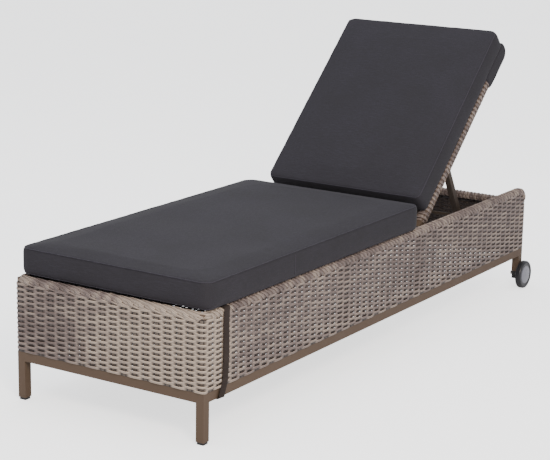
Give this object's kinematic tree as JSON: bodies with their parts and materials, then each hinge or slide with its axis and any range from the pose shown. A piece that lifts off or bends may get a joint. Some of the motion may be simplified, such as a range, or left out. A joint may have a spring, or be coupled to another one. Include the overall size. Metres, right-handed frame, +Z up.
{
  "type": "reclining sun lounger",
  "caption": "Woven garden sun lounger on a tube frame with a cushioned seat, a backrest that reclines on a fold-down stay, and wheels at the head end.",
  "frame": {"origin": "on the floor under the middle of the object's box", "axes": "+Z up, +Y along the length towards the head end, +X across the width"},
  "size_m": [0.716, 2.042, 0.9564],
  "materials": {
    "frame_coat": "satin taupe-brown powder coat",
    "rack_coat": "dark powder coat",
    "wicker": "weathered grey-beige synthetic rattan",
    "black_plastic": "moulded, fine grain",
    "tyre": "smooth rubber tread",
    "hub_grey": "moulded grey",
    "cap_grey": "light grey moulded cap",
    "zinc_steel": "zinc plated",
    "nylon": "natural nylon",
    "cushion_cloth": "charcoal outdoor cloth, fine weave",
    "webbing": "dark brown polyester webbing"
  },
  "bodies": {
    "base": {"axle_block_left": "black_plastic", "axle_block_right": "black_plastic", "axle_bolts": "zinc_steel", "axle_nuts_and_washers": "zinc_steel", "cushion_strap": "webbing", "deck_cross_bars": "frame_coat", "deck_weave": "wicker", "foot_glide_left": "black_plastic", "foot_glide_right": "black_plastic", "foot_weave": "wicker", "frame_posts": "frame_coat", "front_leg_left": "frame_coat", "front_leg_right": "frame_coat", "head_weave": "wicker", "hinge_nuts": "zinc_steel", "hinge_plates": "rack_coat", "hinge_studs": "zinc_steel", "pivot_cross_tube": "frame_coat", "plate_screws": "zinc_steel", "rear_leg_left": "frame_coat", "rear_leg_right": "frame_coat", "rim_wrap_foot": "wicker", "rim_wrap_head": "wicker", "rim_wrap_left": "wicker", "rim_wrap_right": "wicker", "ring_foot_rail": "frame_coat", "ring_head_rail": "frame_coat", "ring_side_rail_left": "frame_coat", "ring_side_rail_right": "frame_coat", "seat_cushion": "cushion_cloth", "side_weave_left": "wicker", "side_weave_right": "wicker", "stay_rack_left": "rack_coat", "stay_rack_right": "rack_coat", "top_rail_foot": "frame_coat", "top_rail_head": "frame_coat", "top_rail_left": "frame_coat", "top_rail_right": "frame_coat"},
    "backrest": {"backrest_bottom_rail": "frame_coat", "backrest_cross_bars": "frame_coat", "backrest_rail_left": "frame_coat", "backrest_rail_right": "frame_coat", "backrest_top_rail": "frame_coat", "backrest_weave": "wicker", "backrest_wrap_left": "wicker", "backrest_wrap_right": "wicker", "back_cushion": "cushion_cloth", "hood": "cushion_cloth", "hinge_bushes": "nylon", "stay_pivot_pins": "zinc_steel"},
    "stay": {"stay_leg_left": "frame_coat", "stay_leg_right": "frame_coat", "stay_foot_bar": "frame_coat"},
    "wheel_left": {"tyre_left": "tyre", "wheel_hub_left": "hub_grey", "hub_cap_left": "cap_grey"},
    "wheel_right": {"tyre_right": "tyre", "wheel_hub_right": "hub_grey", "hub_cap_right": "cap_grey"}
  },
  "joints": [
    {"name": "recline", "type": "hinge", "parent": "base", "child": "backrest", "pos_m": [0, 0.267, 0.35], "axis": [1, 0, 0], "range_deg": [-43.4, 9]},
    {"name": "stay_fold", "type": "hinge", "parent": "backrest", "child": "stay", "pos_m": [0, 0.48497, 0.55613], "axis": [1, 0, 0], "range_deg": [-21.2, 98.1]},
    {"name": "left_wheel_spin", "type": "hinge", "parent": "base", "child": "wheel_left", "pos_m": [-0.345, 0.971, 0.05], "axis": [1, 0, 0], "continuous": true},
    {"name": "right_wheel_spin", "type": "hinge", "parent": "base", "child": "wheel_right", "pos_m": [0.345, 0.971, 0.05], "axis": [1, 0, 0], "continuous": true}
  ],
  "couplings": [
    {"joint": "stay_fold", "follows": "recline", "ratio": -2.2369}
  ]
}
